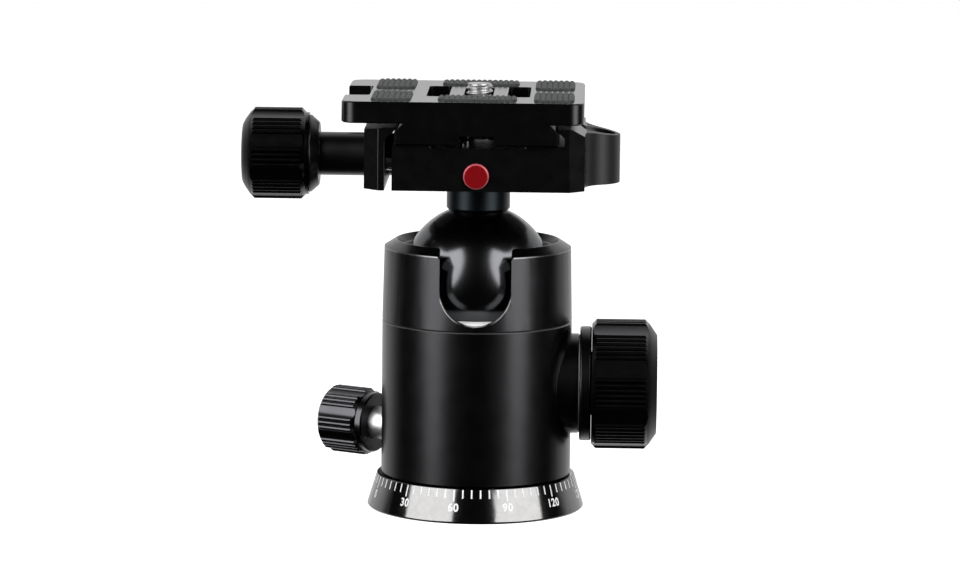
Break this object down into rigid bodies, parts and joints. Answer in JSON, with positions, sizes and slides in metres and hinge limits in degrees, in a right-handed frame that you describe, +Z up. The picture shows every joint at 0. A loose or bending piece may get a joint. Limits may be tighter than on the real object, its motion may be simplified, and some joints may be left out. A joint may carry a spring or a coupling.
{
  "type": "tripod ball head",
  "caption": "Ball head for a camera tripod: a lockable ball with a drop slot in a panning housing on a flat base, topped by a screw-knob dovetail clamp with a sliding quick-release plate.",
  "frame": {"origin": "centre of the underside of the base, on the panning axis", "axes": "+Z up the panning axis and the camera screw, +X towards the main lock knob, -Y towards the drop slot and the release button; the dovetail runs along Y"},
  "size_m": [0.0985, 0.0528, 0.1009],
  "materials": {
    "satin_black": "black anodised over fine bead blasting, satin",
    "gloss_black": "black anodised, glossy",
    "polished_black": "hard anodised and polished",
    "steel": "turned stainless steel",
    "dark_steel": "blackened steel",
    "brass": "turned brass",
    "seat_plastic": "acetal",
    "machined_aluminium": "plain turned aluminium",
    "pad_rubber": "matt dark grey, ribbed",
    "red_anodised": "red anodised, fine turned",
    "clear_plastic": "clear acrylic",
    "level_liquid": "yellow-green liquid",
    "dial_print": "white print of the dials"
  },
  "bodies": {
    "base": {"base_ring": "gloss_black", "pan_spindle": "steel", "spindle_screws": "steel", "tripod_bushing": "steel", "pan_thrust_washer": "seat_plastic"},
    "housing": {"lower_housing": "satin_black", "ball_collar": "satin_black", "upper_ball_seat": "seat_plastic", "spindle_ring_nut": "steel", "lock_bushing": "brass", "pan_bushing": "brass"},
    "pan_shoe": {"pan_brake_shoe": "seat_plastic"},
    "pan_knob": {"pan_knob": "gloss_black", "pan_lock_shaft": "steel", "pan_knob_screw": "steel"},
    "wedge": {"lock_wedge": "steel"},
    "lock_knob": {"lock_knob": "gloss_black", "lock_knob_hub": "gloss_black", "lock_shaft": "steel"},
    "friction_dial": {"friction_dial": "gloss_black"},
    "lifter": {"seat_lifter": "machined_aluminium"},
    "lower_seat": {"lower_ball_seat": "seat_plastic"},
    "ball": {"ball": "polished_black"},
    "clamp": {"clamp_body": "satin_black", "clamp_bolt": "steel", "level_vial": "clear_plastic", "level_fluid": "level_liquid", "jaw_guide_pins": "steel", "plate_stop_dowel": "steel", "button_spring": "steel"},
    "jaw": {"moving_jaw": "satin_black"},
    "clamp_knob": {"clamp_knob": "gloss_black", "clamp_screw": "dark_steel", "jaw_retaining_clip": "steel"},
    "release_button": {"release_button": "red_anodised"},
    "stop_pin": {"stop_pin": "steel"},
    "plate": {"quick_release_plate": "satin_black", "side_rubber_pads": "pad_rubber", "middle_rubber_pads": "pad_rubber", "plate_safety_screws": "steel"},
    "screw_washer": {"captive_washer": "steel"},
    "camera_screw": {"camera_screw": "steel"}
  },
  "joints": [
    {"name": "pan", "type": "hinge", "parent": "base", "child": "housing", "pos_m": [0, 0, 0], "axis": [0, 0, 1], "continuous": true},
    {"name": "pan_shoe_slide", "type": "slide", "parent": "housing", "child": "pan_shoe", "axis": [-0.866, 0.5, 0], "range_m": [0, 0.0013]},
    {"name": "pan_knob_turn", "type": "hinge", "parent": "pan_shoe", "child": "pan_knob", "pos_m": [0, 0, 0.017], "axis": [-0.866, 0.5, 0], "range_deg": [0, 360]},
    {"name": "lock_wedge_slide", "type": "slide", "parent": "housing", "child": "wedge", "axis": [1, 0, 0], "range_m": [0, 0.0015]},
    {"name": "lock_knob_turn", "type": "hinge", "parent": "wedge", "child": "lock_knob", "pos_m": [0, 0, 0.0296], "axis": [1, 0, 0], "range_deg": [0, 360]},
    {"name": "friction_dial_turn", "type": "hinge", "parent": "lock_knob", "child": "friction_dial", "pos_m": [0, 0, 0.0296], "axis": [1, 0, 0], "range_deg": [0, 270]},
    {"name": "seat_lifter_slide", "type": "slide", "parent": "housing", "child": "lifter", "axis": [0, 0, 1], "range_m": [-0.0003, 0]},
    {"name": "ball_swivel", "type": "hinge", "parent": "housing", "child": "lower_seat", "pos_m": [0, 0, 0.0543], "axis": [0, 0, 1], "range_deg": [-360, 360]},
    {"name": "ball_tilt", "type": "hinge", "parent": "lower_seat", "child": "ball", "pos_m": [0, 0, 0.0543], "axis": [1, 0, 0], "range_deg": [-41, 90]},
    {"name": "ball_spin", "type": "hinge", "parent": "ball", "child": "clamp", "pos_m": [0, 0, 0.0543], "axis": [0, 0, 1], "continuous": true},
    {"name": "jaw_slide", "type": "slide", "parent": "clamp", "child": "jaw", "axis": [-1, 0, 0], "range_m": [0, 0.0034]},
    {"name": "clamp_knob_turn", "type": "hinge", "parent": "jaw", "child": "clamp_knob", "pos_m": [0, 0, 0.08375], "axis": [-1, 0, 0], "range_deg": [0, 1080]},
    {"name": "release_button_press", "type": "slide", "parent": "clamp", "child": "release_button", "axis": [0, 1, 0], "range_m": [0, 0.0015], "stiffness_N_per_m": 800, "springref_m": -0.002, "deforming": ["button_spring"]},
    {"name": "stop_pin_drop", "type": "slide", "parent": "clamp", "child": "stop_pin", "axis": [0, 0, -1], "range_m": [0, 0.0015]},
    {"name": "plate_slide", "type": "slide", "parent": "clamp", "child": "plate", "axis": [0, 1, 0], "range_m": [-0.0033, 0.0033]},
    {"name": "screw_washer_slide", "type": "slide", "parent": "plate", "child": "screw_washer", "axis": [0, 1, 0], "range_m": [-0.0074, 0.0074]},
    {"name": "camera_screw_turn", "type": "hinge", "parent": "screw_washer", "child": "camera_screw", "pos_m": [0, 0, 0.099], "axis": [0, 0, 1], "continuous": true}
  ],
  "couplings": [
    {"joint": "pan_shoe_slide", "follows": "pan_knob_turn", "m_per_rad": 0.00015915},
    {"joint": "lock_wedge_slide", "follows": "lock_knob_turn", "m_per_rad": 0.00019894},
    {"joint": "seat_lifter_slide", "follows": "lock_knob_turn", "m_per_rad": -0.000042287},
    {"joint": "jaw_slide", "follows": "clamp_knob_turn", "m_per_rad": 0.00015915},
    {"joint": "stop_pin_drop", "follows": "release_button_press", "ratio": 1}
  ]
}
